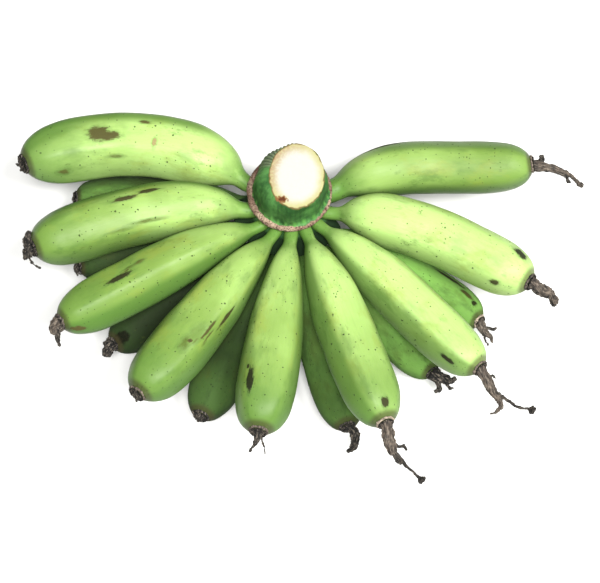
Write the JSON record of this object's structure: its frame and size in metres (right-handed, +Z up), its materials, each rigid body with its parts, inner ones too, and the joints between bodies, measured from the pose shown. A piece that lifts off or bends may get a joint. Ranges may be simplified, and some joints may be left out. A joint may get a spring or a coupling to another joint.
{
  "type": "hand of bananas",
  "caption": "A hand of short, thick green cooking bananas: a lower and an upper row of ridged fingers on a cut length of stalk, each finger ending in its dried flower.",
  "frame": {"origin": "the table under the middle of the hand: the centre of the bounding box's bottom face", "axes": "+Z up along the stalk, out of its cut top; +X along the hand's longest extent, from the end of the left uppermost finger to the end of the right one; +Y from the spread finger ends towards the stalk"},
  "size_m": [0.3966, 0.262, 0.0809],
  "materials": {
    "peel": "waxy satin green peel",
    "stalk_skin": "smooth dark green rind, cream where it is cut, corky brown at the ring",
    "dried_flower": "dry, fibrous, dull"
  },
  "bodies": {
    "root": {"stalk": "stalk_skin", "finger_1": "peel", "finger_2": "peel", "finger_3": "peel", "finger_4": "peel", "finger_5": "peel", "finger_6": "peel", "finger_7": "peel", "finger_8": "peel", "finger_9": "peel", "under_1": "peel", "under_2": "peel", "under_3": "peel", "under_4": "peel", "under_5": "peel", "under_6": "peel", "under_7": "peel", "flower_1": "dried_flower", "flower_2": "dried_flower", "flower_3": "dried_flower", "flower_4": "dried_flower", "flower_5": "dried_flower", "flower_6": "dried_flower", "flower_7": "dried_flower", "flower_8": "dried_flower", "flower_9": "dried_flower", "under_flower_1": "dried_flower", "under_flower_2": "dried_flower", "under_flower_3": "dried_flower", "under_flower_4": "dried_flower", "under_flower_5": "dried_flower", "under_flower_6": "dried_flower", "under_flower_7": "dried_flower"}
  },
  "joints": []
}
